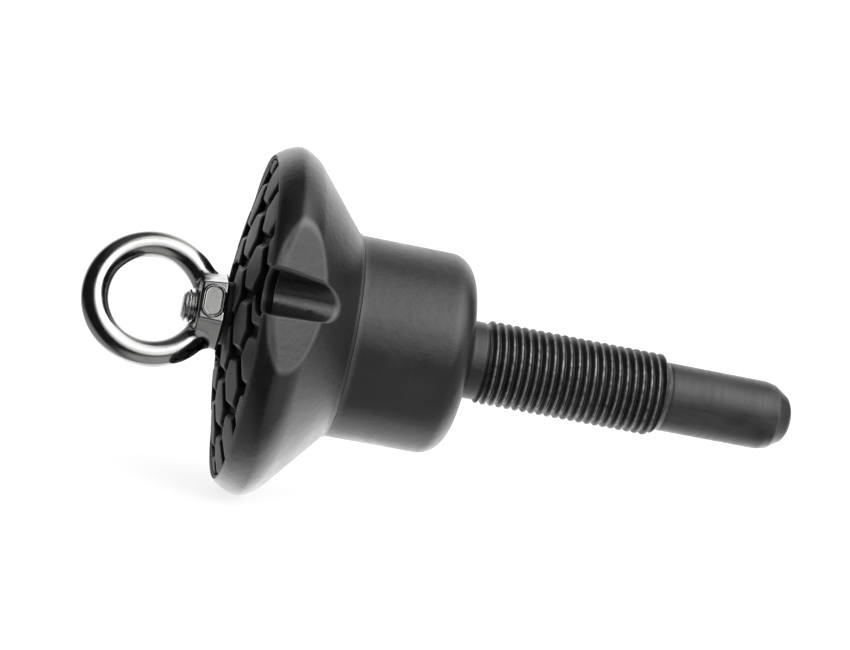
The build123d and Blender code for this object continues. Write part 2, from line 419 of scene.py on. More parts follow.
@dataclass(frozen=True)
class MouldedRubber:
    """Satin black moulding with a fine spark-eroded grain, scuffs and dust in the grain, a painted highlight
    on marked edges and painted shade in marked grooves.
    """

    name: str
    dark: tuple[float, float, float] = (0.0055, 0.0055, 0.0058)
    light: tuple[float, float, float] = (0.011, 0.011, 0.0115)
    # The next colour serves both real dust specks and the painted edge highlight.
    dust_and_highlight: tuple[float, float, float] = (0.085, 0.085, 0.084)
    # Painted shade in grooves: the next colour, and the low specular level further down.
    groove_shade_colour: tuple[float, float, float] = (0.002, 0.002, 0.002)
    smoothest: float = 0.24
    roughest: float = 0.36
    grain_depth: float = 0.020 * MM
    mottle_depth: float = 0.07 * MM
    wave_depth: float = 0.05 * MM
    edge_share: float = 0.85
    specular: float = 0.5
    groove_shade_specular: float = 0.03

    def material(self) -> bpy.types.Material:
        """Builds the finish.

        Returns:
            The material.
        """
        g = NodeGraph(self.name)
        clouds = g.noise(70.0, 4.0)
        grain = g.noise(2600.0, 3.0, 0.6)
        scuffs = g.noise(420.0, 5.0, 0.7, g.stretched((1.0, 0.25, 0.25)))
        specks = g.ramp(g.cells(1100.0), 0.12, 0.06)
        patchy = g.ramp(g.noise(45.0, 2.0), 0.45, 0.62)
        body = g.blend(g.ramp(clouds, 0.35, 0.7), self.dark, self.light)
        # Painted highlight: marked edges are lightened towards the dust colour.
        wear_and_highlight = g.ramp(g.attribute("wear_and_highlight"), 0.0, 1.0)
        body = g.blend(g.combine("MULTIPLY", wear_and_highlight, self.edge_share), body, self.dust_and_highlight)
        dusty = g.combine("MULTIPLY", g.combine("MULTIPLY", specks, patchy), 0.5)
        body = g.blend(dusty, body, self.dust_and_highlight)
        # Painted shade: marked grooves and tile walls turn near black.
        g.link(g.blend(g.attribute("groove_shade"), body, self.groove_shade_colour), g.shader.inputs["Base Color"])
        mixed = g.combine("ADD", g.combine("MULTIPLY", clouds, 0.6), g.combine("MULTIPLY", scuffs, 0.4))
        worn = g.ramp(mixed, 0.35, 0.65, self.smoothest, self.roughest)
        g.link(worn, g.shader.inputs["Roughness"])
        # Painted shade: marked grooves lose most of their specular reflection.
        shine = g.ramp(g.attribute("groove_shade"), 0.0, 1.0, self.specular, self.groove_shade_specular)
        g.link(shine, g.shader.inputs["Specular IOR Level"])
        g.relief([(grain, self.grain_depth), (g.noise(520.0, 3.0, 0.6), self.mottle_depth),
                  (g.noise(60.0, 2.0), self.wave_depth)])
        return g.material


@dataclass(frozen=True)
class BlackedSteel:
    """Chemically blackened steel with turning marks and bare metal glinting on its edges."""

    name: str
    dark: tuple[float, float, float] = (0.009, 0.009, 0.0095)
    light: tuple[float, float, float] = (0.034, 0.034, 0.035)
    bare: tuple[float, float, float] = (0.30, 0.30, 0.31)
    smoothest: float = 0.30
    roughest: float = 0.50

    def material(self) -> bpy.types.Material:
        """Builds the finish.

        Returns:
            The material.
        """
        g = NodeGraph(self.name)
        clouds = g.noise(210.0, 5.0, 0.65, g.stretched((0.35, 1.0, 1.0)))
        turning = g.noise(900.0, 3.0, 0.6, g.stretched((1.0, 0.03, 0.03)))
        grit = g.noise(5200.0, 2.0)
        wear_and_highlight = g.combine("MULTIPLY", g.attribute("wear_and_highlight"), g.ramp(g.noise(700.0, 3.0), 0.32, 0.62))
        body = g.blend(g.ramp(clouds, 0.35, 0.68), self.dark, self.light)
        g.link(g.blend(wear_and_highlight, body, self.bare), g.shader.inputs["Base Color"])
        g.link(g.ramp(wear_and_highlight, 0.0, 0.8, 0.25, 0.9), g.shader.inputs["Metallic"])
        mixed = g.combine("ADD", g.combine("MULTIPLY", clouds, 0.5), g.combine("MULTIPLY", turning, 0.5))
        g.link(g.ramp(mixed, 0.35, 0.65, self.smoothest, self.roughest), g.shader.inputs["Roughness"])
        g.relief([(turning, 0.006 * MM), (grit, 0.004 * MM), (g.noise(330.0, 3.0), 0.035 * MM)])
        return g.material


@dataclass(frozen=True)
class PolishedCast:
    """Tumbled and buffed stainless casting: bright, with soft waviness, fine pits and hairlines."""

    name: str
    bright: tuple[float, float, float] = (0.37, 0.368, 0.363)
    dull: tuple[float, float, float] = (0.20, 0.20, 0.20)
    smoothest: float = 0.10
    roughest: float = 0.26

    def material(self) -> bpy.types.Material:
        """Builds the finish.

        Returns:
            The material.
        """
        g = NodeGraph(self.name)
        clouds = g.noise(240.0, 4.0, 0.6)
        pits = g.ramp(g.cells(1500.0), 0.22, 0.04)
        some = g.ramp(g.noise(330.0, 2.0), 0.5, 0.6)
        pitted = g.combine("MULTIPLY", pits, some)
        hairs = g.noise(1500.0, 3.0, 0.6, g.stretched((0.12, 1.0, 1.0)))
        g.link(g.blend(g.ramp(g.combine("ADD", pitted, g.combine("MULTIPLY", clouds, 0.3)), 0.1, 1.0),
                       self.bright, self.dull), g.shader.inputs["Base Color"])
        g.shader.inputs["Metallic"].default_value = 1.0
        g.link(g.ramp(clouds, 0.35, 0.7, self.smoothest, self.roughest), g.shader.inputs["Roughness"])
        g.relief([(g.noise(420.0, 3.0), 0.016 * MM), (hairs, 0.002 * MM), (pitted, -0.010 * MM)])
        return g.material


@dataclass(frozen=True)
class PlatedSteel:
    """Zinc-plated or bright steel hardware with a mottled plating and light machining lines."""

    name: str
    pale: tuple[float, float, float] = (0.60, 0.60, 0.61)
    deep: tuple[float, float, float] = (0.38, 0.38, 0.40)
    smoothest: float = 0.22
    roughest: float = 0.42

    def material(self) -> bpy.types.Material:
        """Builds the finish.

        Returns:
            The material.
        """
        g = NodeGraph(self.name)
        mottled = g.noise(600.0, 4.0, 0.65)
        lines = g.noise(1400.0, 2.0, 0.5, g.stretched((1.0, 0.05, 0.05)))
        g.link(g.blend(g.ramp(mottled, 0.35, 0.65), self.deep, self.pale), g.shader.inputs["Base Color"])
        g.shader.inputs["Metallic"].default_value = 1.0
        g.link(g.ramp(mottled, 0.3, 0.7, self.smoothest, self.roughest), g.shader.inputs["Roughness"])
        g.relief([(lines, 0.004 * MM), (g.noise(3000.0, 2.0), 0.002 * MM)])
        return g.material


def dress(piece: bpy.types.Object, material: bpy.types.Material) -> None:
    """Gives every face of a piece one material.

    Args:
        piece: The piece.
        material: The material that replaces whatever it has.
    """
    piece.data.materials.clear()
    piece.data.materials.append(material)


def settle(piece: bpy.types.Object, material: bpy.types.Material, body: Body, node: str) -> bpy.types.Object:
    """Dresses a piece and rides it on its body, in place of its CAD node.

    Args:
        piece: The piece.
        material: Its material.
        body: The body that it moves with.
        node: The CAD node that it stands for.

    Returns:
        The same piece, finished.
    """
    dress(piece, material)
    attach(piece, body.value)
    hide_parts(node)
    LOG.info("%s: %d vertices on %s", piece.name, len(piece.data.vertices), body.value)
    return piece


# ---------------------------------------------------------------- sizes shared by the pieces


def node_span(node: str) -> tuple[float, float, float]:
    """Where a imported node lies, in millimetres.

    Args:
        node: The node's name.

    Returns:
        Its lowest x, its highest x and its largest radius.
    """
    low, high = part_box(node)
    return low.x / MM, high.x / MM, max(high.y, high.z, -low.y, -low.z) / MM


def nearness(a: Array, b: float | Array, width: float) -> Array:
    """How close two values are: 1 where they meet, falling to 0 at a width apart.

    Args:
        a: First values.
        b: Second values, or one value for all.
        width: The distance at which nearness reaches 0.

    Returns:
        The nearness, from 0 to 1.
    """
    return np.clip(1.0 - np.abs(a - b) / width, 0.0, 1.0)


@dataclass(frozen=True)
class EdgeSlots:
    """The two opposite round-bottomed slots in the bumper's rim, in millimetres and degrees."""

    direction: float = 165.3
    floor_radius: float = 30.8
    round_radius: float = 4.2
    round_to: float = 4.0
    wall_slope: float = 6.0
    measured_at: float = 35.0

    def from_slot(self, angles: Array) -> Array:
        """Angle from the nearest slot's middle, in radians from -pi/2 to pi/2."""
        turn = angles - math.radians(self.direction) + math.pi / 2.0
        return np.mod(turn, math.pi) - math.pi / 2.0

    def radius(self, angles: Array) -> Array:
        """Radius of the slots' surface.

        A circular floor runs out to a straight drafted wall: centre - sqrt(radius^2 - across^2),
        then a rise of wall_slope a millimetre.

        Args:
            angles: Angles about X.

        Returns:
            The radius at each angle, very large away from the slots.
        """
        across = self.measured_at * np.abs(self.from_slot(angles))
        centre = self.floor_radius + self.round_radius
        dip = np.sqrt(self.round_radius**2 - np.minimum(across, self.round_to) ** 2)
        return centre - dip + self.wall_slope * np.clip(across - self.round_to, 0.0, None)

    def columns(self) -> Array:
        """Angles of a full turn, close together at the slots and the flats beside them.

        Returns:
            Increasing angles in radians.
        """
        fine = np.arange(-12.0, 12.0, 0.25)
        middle = np.arange(12.0, 32.0, 0.55)
        coarse = np.arange(32.0, 148.0, 1.25)
        half = np.concatenate([fine, middle, coarse, np.arange(148.0, 168.0, 0.55)])
        return np.radians(self.direction + np.concatenate([half, half + 180.0]))


@dataclass(frozen=True)
class Helix:
    """A right-handed screw thread as a height over its root, in millimetres."""

    start: float
    end: float
    pitch: float
    root: float
    crest: float
    crest_half: float = 0.10
    root_half: float = 0.43
    fade: float = 0.7

    def height(self, x: Array, angles: Array) -> Array:
        """Height over the root.

        The phase along one pitch is (x / pitch - angle / full turn). The tooth is 1 near the
        middle of a phase and falls in a straight flank to 0, softened at both corners.

        Args:
            x: Positions along the axis.
            angles: Angles about X.

        Returns:
            The height, in millimetres.
        """
        phase = np.mod((x - self.start) / self.pitch - angles / (2.0 * math.pi), 1.0) - 0.5
        ramp = (self.root_half - np.abs(phase)) / (self.root_half - self.crest_half)
        soft = 0.6 * np.clip(ramp, 0.0, 1.0) + 0.4 * smooth_step(ramp)
        ends = smooth_step((x - self.start) / self.fade) * smooth_step((self.end - x) / self.fade)
        return (self.crest - self.root) * soft * ends


# ---------------------------------------------------------------- bumper


@dataclass
class BumperBody:
    """Cone with a pointed rounded rim, two slots and the lens-shaped flats beside them."""

    slots: EdgeSlots
    finish: MouldedRubber
    crest_back: float = 17.8
    crest_slope: float = 12.4
    cone_arc: float = 10.4
    face_arc: float = 10.9
    cone_slope: float = 49.3
    lip_radius: float = 24.35
    border_radius: float = 38.1
    cap_floor_back: float = 20.6
    spigot_bore: float = 20.1
    spigot_depth: float = 5.1
    bore: float = 11.2
    flat_radius: float = 37.75
    flat_tilt: float = 17.0
    edge_width: float = 0.7
    face_edge_width: float = 2.6
    slot_edge_width: float = 1.1
    span: tuple[float, float, float] = field(default_factory=lambda: node_span("bumper_body"))

    def outer_radius(self, x: Array) -> Array:
        """Radius of the rim and the cone.

        The face side is a circle arc, the back is an arc that runs on as a straight cone, and
        the two meet in a softened crest.

        Args:
            x: Positions along the axis.

        Returns:
            The radius at each position.
        """
        crest_x, crest_r = self.span[1] - self.crest_back, self.span[2]
        slope = math.radians(self.crest_slope)
        cone_x, cone_r = crest_x - self.cone_arc * math.sin(slope), crest_r - self.cone_arc * math.cos(slope)
        face_x, face_r = crest_x + self.face_arc * math.sin(slope), crest_r - self.face_arc * math.cos(slope)
        steep = math.radians(self.cone_slope)
        join_x = cone_x + self.cone_arc * math.sin(steep)
        join_r = cone_r + self.cone_arc * math.cos(steep)
        offset = np.clip(x - cone_x, 0.0, join_x - cone_x)
        arc = cone_r + np.sqrt(self.cone_arc**2 - offset**2)
        back = np.where(x > join_x, join_r - (x - join_x) * math.tan(steep), arc)
        face = face_r + np.sqrt(self.face_arc**2 - np.clip(x - face_x, -self.face_arc, 0.0) ** 2)
        return smooth_min(face, back, 0.40)

    def shaped_radius(self, x: Array, angles: Array) -> tuple[Array, Array]:
        """Rim and cone with the flats and the slots taken out.

        A flat's plane lies at flat radius less x tan(tilt), and a ray meets it at that divided by
        the cosine of the angle from the slot.

        Args:
            x: Positions along the axis, as a column.
            angles: Angles about X.

        Returns:
            The radius, and how near each point is to a rounded edge.
        """
        crest_x = self.span[1] - self.crest_back
        whole = self.outer_radius(x) + 0.0 * angles
        plane = self.flat_radius - (x - crest_x) * math.tan(math.radians(self.flat_tilt))
        flats = plane / np.clip(np.cos(self.slots.from_slot(angles)), 0.35, None)
        facing = smooth_step((crest_x + 1.0 - x) / 4.0)
        width = self.edge_width + (self.face_edge_width - self.edge_width) * facing
        flatted = smooth_min(whole, flats, width)
        slot = self.slots.radius(angles) + 0.0 * x
        shaped = smooth_min(flatted, slot, self.slot_edge_width)
        beside = nearness(whole, flats, 0.7) * (1.0 - 0.4 * facing) * smooth_step((slot - flatted) / 1.5)
        rim = nearness(flatted, slot, 1.0)
        return shaped, np.clip(np.maximum(beside, rim), 0.0, 1.0)

    def build(self) -> bpy.types.Object:
        """Makes the bumper body.

        Returns:
            The finished piece.
        """
        start, end, _ = self.span
        floor = end - self.cap_floor_back
        crest_x = end - self.crest_back
        lip_x = start + 0.06
        x_rows = np.concatenate([
            np.linspace(lip_x, crest_x - 1.6, 18, endpoint=False),
            np.linspace(crest_x - 1.6, crest_x + 1.6, 30, endpoint=False),
            np.linspace(crest_x + 1.6, crest_x + 13.0, 44, endpoint=False),
            np.linspace(crest_x + 13.0, end - 0.55, 12),
        ])
        outer = np.stack([x_rows, self.outer_radius(x_rows)], axis=1)
        inner = rounded_outline([
            (end - 0.12, self.lip_radius + 0.04, 0.0),
            (end, self.lip_radius - 0.12, 0.0),
            (end, self.spigot_bore, 0.3),
            (end - self.spigot_depth, self.spigot_bore, 0.2),
            (end - self.spigot_depth, self.bore, 0.3),
            (floor, self.bore, 0.4),
            (floor, self.border_radius, 0.15),
            (lip_x + 0.25, self.border_radius, 0.0),
            (lip_x + 0.05, self.border_radius + 0.04, 0.0),
        ], 2.4, closed=False)
        profile = np.concatenate([outer, inner])
        angles = self.slots.columns()
        x = profile[:, :1] + 0.0 * angles
        outside = np.arange(len(profile))[:, None] < len(outer)
        limit, edges = self.shaped_radius(np.maximum(x, lip_x), angles)
        at_floor = np.minimum(limit, self.shaped_radius(np.full_like(x, floor), angles)[0])
        on_lip = x < floor + 0.02
        radius = np.where(outside, limit, np.broadcast_to(profile[:, 1:2], x.shape))
        radius = np.where(on_lip & ~outside, np.minimum(radius, at_floor), radius)
        gone = smooth_step((self.border_radius - limit) / 1.2)
        x = np.where(on_lip, x + (floor - x) * gone, x)
        # Painted highlight: lightens the edges of the flats and slots, the crease at the back end and the
        # lip.
        wear_and_highlight = np.where(outside, edges, 0.0)
        wear_and_highlight = np.maximum(wear_and_highlight, np.where(outside, 0.12 * nearness(x, end - 0.3, 0.7), 0.0))
        wear_and_highlight = np.maximum(wear_and_highlight, 0.6 * nearness(x, lip_x, 0.9))
        grid = around_x(profile, angles, radius, x)
        piece = build_mesh("moulded_bumper", [Surface(grid, wrap_rows=True)], {"wear_and_highlight": wear_and_highlight})
        return settle(piece, self.finish.material(), Body.ANCHOR, "bumper_body")


@dataclass(frozen=True)
class Outline:
    """One side of the room that a tile may fill, as a ray's length to it."""

    normals: Array
    offsets: Array

    def reach(self, centre: Array, directions: Array, inset: float) -> Array:
        """Ray lengths from a centre to each straight side, moved in by an inset.

        The length is (offset - inset - centre on the normal) / (direction on the normal).

        Args:
            centre: Where the rays start.
            directions: Unit directions as rows.
            inset: How far the sides move in.

        Returns:
            Lengths, rays by sides.
        """
        facing = directions @ self.normals.T
        room = self.offsets - inset - self.normals @ centre
        return np.where(facing > 1e-3, room / np.maximum(facing, 1e-3), 1e3)


@dataclass
class TreadCap:
    """Domed cap with raised hexagonal tiles, a washer recess and a plate pocket."""

    slots: EdgeSlots
    finish: MouldedRubber
    edge_radius: float = 38.0
    dome_radius: float = 139.4
    dome_top: float = 7.4
    tile_height: float = 1.4
    tile_pitch: float = 13.0
    tile_top: float = 4.65
    tile_base: float = 6.0
    tile_ring: float = 37.5
    border_rise: float = 2.55
    recess_radius: float = 12.4
    recess_height: float = 3.6
    hole_radius: float = 9.0
    plate_radius: float = 26.1
    plate_height: float = 2.0
    span: tuple[float, float, float] = field(default_factory=lambda: node_span("tread_cap"))

    def dome(self, radius: Array, height: float) -> Array:
        """Where the dome lies along X: apex + R - sqrt(R^2 - radius^2), with R grown by a height.

        Args:
            radius: Distances from the axis.
            height: Height below the tiles' tops.

        Returns:
            Positions along X.
        """
        ball = self.dome_radius - height
        return self.span[1] - self.dome_top + height + ball - np.sqrt(ball**2 - radius**2)

    def base_surface(self) -> tuple[Surface, Array, Array]:
        """The cap without its tiles.

        Its outline is turned about X, and outside the plate pocket its radius is squeezed
        evenly to reach no further than the slots.

        Returns:
            The closed surface, the painted highlight on its border's edge, and the painted shade on the rest
            of it.
        """
        floor = self.span[1]
        recess = floor - self.recess_height
        radii = np.linspace(self.recess_radius + 0.2, self.edge_radius - 0.75, 40)
        dome = np.stack([self.dome(radii, self.tile_height), radii], axis=1)
        border_x = floor - self.border_rise
        rest = rounded_outline([
            (border_x + 0.7, self.edge_radius - 0.58, 0.0),
            (border_x, self.edge_radius - 0.46, 0.12),
            (border_x, self.edge_radius, 0.18),
            (floor, self.edge_radius, 0.0),
            (floor, self.plate_radius, 0.0),
            (floor - self.plate_height, self.plate_radius, 0.0),
            (floor - self.plate_height, self.hole_radius, 0.0),
            (recess, self.hole_radius, 0.0),
            (recess, self.recess_radius, 0.25),
            (float(dome[0, 0]) + 0.2, self.recess_radius, 0.0),
        ], 1.6, closed=False)
        profile = np.concatenate([dome, rest])
        angles = self.slots.columns()
        limit = smooth_min(np.full_like(angles, self.edge_radius), self.slots.radius(angles) - 0.02, 1.0)
        fixed = self.plate_radius + 0.8
        share = np.clip((profile[:, 1:2] - fixed) / (self.edge_radius - fixed), 0.0, None)
        radius = np.minimum(profile[:, 1:2], fixed) + share * (limit - fixed)
        grid = around_x(profile, angles, radius)
        on_edge = (profile[:, 1:2] > self.edge_radius - 0.5) & (profile[:, :1] < border_x + 0.5)
        # Painted highlight on the border's edge; painted shade on the rest of the base, between the tiles.
        wear_and_highlight = np.where(on_edge, 0.7, 0.0) + 0.0 * angles
        groove_shade = np.where(on_edge, 0.0, 1.0) + 0.0 * angles
        return Surface(grid, wrap_rows=True), wear_and_highlight, groove_shade

    def tile_centres(self) -> list[Array]:
        """Middles of the hexagonal grid's tiles, without the one at the axis.

        Returns:
            Points as (y, z).
        """
        column, row = (a.ravel() for a in np.meshgrid(np.arange(-4, 5), np.arange(-4, 5)))
        y = column * self.tile_pitch * math.sqrt(3.0) / 2.0
        z = (row + (column % 2) / 2.0) * self.tile_pitch
        away = np.hypot(y, z)
        keep = (away > self.tile_pitch / 2.0) & (away < self.tile_ring + 0.4 * self.tile_pitch)
        return [np.array(p) for p in zip(y[keep], z[keep])]

    def free_area(self, centre: Array, side: float) -> tuple[Array, float]:
        """The part of a hexagon that the ring, the recess and the slots leave free.

        Args:
            centre: The hexagon's middle.
            side: 1 or -1 for the part on one side of a slot, 0 for the whole.

        Returns:
            The middle of the free part, and its area.
        """
        line = np.linspace(-6.9, 6.9, 70)
        y, z = (a.ravel() for a in np.meshgrid(line, line))
        inside = np.hypot(y, z) < hexagon_radius(np.arctan2(z, y), self.tile_base)
        points = np.stack([y, z], axis=1)[inside] + centre
        across, along, away = self.slot_frame(points)
        free = (away < self.tile_ring - 0.5) & (away > self.recess_radius + 0.5)
        free &= (np.abs(across) > 5.9) | (along < 29.6)
        if side != 0.0:
            free &= across * side > 0.0
        if free.sum() < 8:
            return centre, 0.0
        return points[free].mean(axis=0), float(free.sum()) * (line[1] - line[0]) ** 2

    def slot_frame(self, points: Array) -> tuple[Array, Array, Array]:
        """Points as distance across the nearest slot, along it, and from the axis."""
        away = np.hypot(points[..., 0], points[..., 1])
        angle = self.slots.from_slot(np.arctan2(points[..., 1], points[..., 0]))
        return away * np.sin(angle), away * np.cos(angle), away

    def tile_surface(self, hexagon_centre: Array, centre: Array) -> tuple[Surface, Array, Array]:
        """One tile as a closed dome-topped block with rounded edges.

        Rays from the middle run to the nearest of the hexagon's sides, the outer ring, the
        recess and the slot, by a soft minimum (the sum of length^-p)^(-1/p), once for each
        level from the foot to the top, and the top closes on its middle.

        Args:
            hexagon_centre: Middle of the whole hexagon.
            centre: Middle of the part that is left, as (y, z).

        Returns:
            The closed surface, the painted highlight near its top edge, and the painted shade on its foot
            and walls.
        """
        angles = even_angles(66)
        ways = np.stack([np.cos(angles), np.sin(angles)], axis=1)
        normals = np.radians(30.0 + 60.0 * np.arange(6))
        sides = np.stack([np.cos(normals), np.sin(normals)], axis=1)
        hexagon = Outline(sides, self.tile_base + sides @ hexagon_centre)
        drop = self.tile_base - self.tile_top
        levels = [(-0.35, -0.5), (0.0, 0.0), (0.5 * drop, 0.5), (0.86 * drop, 0.83), (0.97 * drop, 0.93),
                  (drop + 0.12, 0.985), (drop + 0.34, 1.0)]
        rows: list[Array] = []
        across_c, along_c, away_c = self.slot_frame(centre[None])
        near_slot = abs(float(across_c[0])) < 14.0 and float(along_c[0]) > 22.0
        for inset, rise in levels:
            steep = 0.35 * max(inset, 0.0)
            lengths = [hexagon.reach(centre, ways, inset)]
            outer = self.tile_ring - steep
            b = ways @ centre
            lengths.append((-b + np.sqrt(np.maximum(b**2 - away_c[0] ** 2 + outer**2, 0.0)))[:, None])
            hole = self.recess_radius + 0.15 + steep
            under = b**2 - away_c[0] ** 2 + hole**2
            hits = (under > 0.0) & (b < 0.0)
            lengths.append(np.where(hits, -b - np.sqrt(np.maximum(under, 0.0)), 1e3)[:, None])
            if near_slot:
                lengths.append(self.slot_reach(centre, ways, 5.25 + steep))
            reach = np.maximum(np.concatenate(lengths, axis=1), 0.15)
            soft = (reach**-22.0).sum(axis=1) ** (-1.0 / 22.0)
            flat = centre + soft[:, None] * ways
            rows.append(self.lift(flat, rise))
        top = centre + (soft[:, None] * ways) * 0.55
        rows.append(self.lift(top, 1.0))
        grid = np.stack(rows)
        # Level by level: a painted highlight near the tile's top edge, painted shade on its foot and lower
        # walls.
        edge = np.array([0.0, 0.0, 0.0, 0.3, 1.0, 0.8, 0.3, 0.1])[:, None]
        groove_shade = np.array([1.0, 1.0, 1.0, 0.7, 0.0, 0.0, 0.0, 0.0])[:, None]
        return Surface(grid, cap_ends=True), edge + 0.0 * angles, groove_shade + 0.0 * angles

    def slot_reach(self, centre: Array, ways: Array, half: float) -> Array:
        """Ray lengths to the slot's round floor and its two walls.

        Args:
            centre: Where the rays start.
            ways: Unit directions as rows.
            half: The slot's half width, grown by the tile's inset.

        Returns:
            Lengths, rays by one column.
        """
        across, along, _ = self.slot_frame(centre[None])
        step_across, step_along, _ = self.slot_frame(centre + 1e-3 * ways)
        u, v = (step_across - across) / 1e-3, (step_along - along) / 1e-3
        rise = along - (self.slots.floor_radius + 5.0)
        b = across * u + rise * v
        under = b**2 - (across**2 + rise**2 - half**2)
        circle = np.where((under > 0.0) & (b < 0.0), -b - np.sqrt(np.maximum(under, 0.0)), 1e3)
        to_wall = (np.abs(across) - half) / np.maximum(-u * np.sign(across), 1e-6)
        high = rise + to_wall * v > 0.0
        wall = np.where((u * np.sign(across) < 0.0) & high & (np.abs(across) > half), to_wall, 1e3)
        return np.minimum(circle, wall)[:, None]

    def lift(self, flat: Array, rise: float) -> Array:
        """Puts (y, z) points on the dome, at a share of the tile's height above its foot."""
        away = np.hypot(flat[:, 0], flat[:, 1])
        x = self.dome(np.minimum(away, 60.0), self.tile_height * (1.0 - rise))
        return np.stack([x, flat[:, 0], flat[:, 1]], axis=1)

    def build(self) -> bpy.types.Object:
        """Makes the tread cap.

        Returns:
            The finished piece.
        """
        surface, wear_and_highlight, groove_shade = self.base_surface()
        surfaces, wear_and_highlight_rows, groove_shades = [surface], [wear_and_highlight.ravel()], [groove_shade.ravel()]
        for hexagon_centre in self.tile_centres():
            across, along, _ = self.slot_frame(hexagon_centre[None])
            split = abs(float(across[0])) < 5.9 and float(along[0]) > 27.0
            for side in ((1.0, -1.0) if split else (0.0,)):
                middle, area = self.free_area(hexagon_centre, side)
                if area < 6.0:
                    continue
                tile, edge, groove_shade = self.tile_surface(hexagon_centre, middle)
                surfaces.append(tile)
                # The foot's cap is in painted shade; the top's cap gets a slight painted highlight.
                wear_and_highlight_rows.append(np.concatenate([edge.ravel(), [0.0, 0.1]]))
                groove_shades.append(np.concatenate([groove_shade.ravel(), [1.0, 0.0]]))
        marks = {"wear_and_highlight": np.concatenate(wear_and_highlight_rows), "groove_shade": np.concatenate(groove_shades)}
        piece = build_mesh("hexagon_tread", surfaces, marks)
        return settle(piece, self.finish.material(), Body.ANCHOR, "tread_cap")


# ---------------------------------------------------------------- collar and stud


@dataclass
class Collar:
    """Moulded cup round the stud's head, with a large rounded end."""

    finish: MouldedRubber
    spigot_length: float = 5.0
    spigot_radius: float = 20.0
    end_fillet: float = 6.1
    neck_hole: float = 9.4
    pocket_floor: float = 8.0
    pocket_half: float = 15.1
    span: tuple[float, float, float] = field(default_factory=lambda: node_span("collar"))

    def build(self) -> bpy.types.Object:
        """Makes the collar: its outline is turned about X, and the pocket's rows are hexagons.

        Returns:
            The finished piece.
        """
        start, end, radius = self.span
        shoulder = start + self.spigot_length
        floor = end - self.pocket_floor
        profile = rounded_outline([
            (end, self.neck_hole, 0.5),
            (end, radius, self.end_fillet),
            (shoulder, radius, 0.35),
            (shoulder, self.spigot_radius, 0.2),
            (start, self.spigot_radius, 0.5),
            (start, self.pocket_half, 0.3),
            (floor, self.pocket_half, 0.4),
            (floor, self.neck_hole, 0.3),
        ], 1.2, closed=True)[:-1]
        angles = even_angles(288)
        hexagonal = (profile[:, 1:2] < self.pocket_half + 0.01) & (profile[:, :1] < floor + 0.01)
        grown = profile[:, 1:2] * hexagon_radius(angles, 1.0)
        blend = smooth_step((profile[:, 1:2] - self.neck_hole - 0.4) / 3.0)
        turned = profile[:, 1:2] + 0.0 * angles
        turned = np.where(hexagonal, turned + (grown - turned) * blend, turned)
        wobble = 0.035 * np.sin(3.0 * angles + 0.7) + 0.02 * np.sin(7.0 * angles + 2.0)
        outside = (profile[:, 1:2] > radius - 0.02) & (profile[:, :1] > shoulder)
        turned = np.where(outside, np.minimum(turned, radius - 0.06) + wobble * 0.8, turned)
        # Painted highlight along the shoulder's edge.
        wear_and_highlight = nearness(profile[:, :1] + 0.0 * angles, shoulder + 0.15, 0.5)
        wear_and_highlight = np.where(profile[:, 1:2] > radius - 0.6, wear_and_highlight, 0.0)
        grid = around_x(profile, angles, turned)
        piece = build_mesh("collar_cup", [Surface(grid, wrap_rows=True)], {"wear_and_highlight": wear_and_highlight * 0.8})
        return settle(piece, self.finish.material(), Body.ANCHOR, "collar")


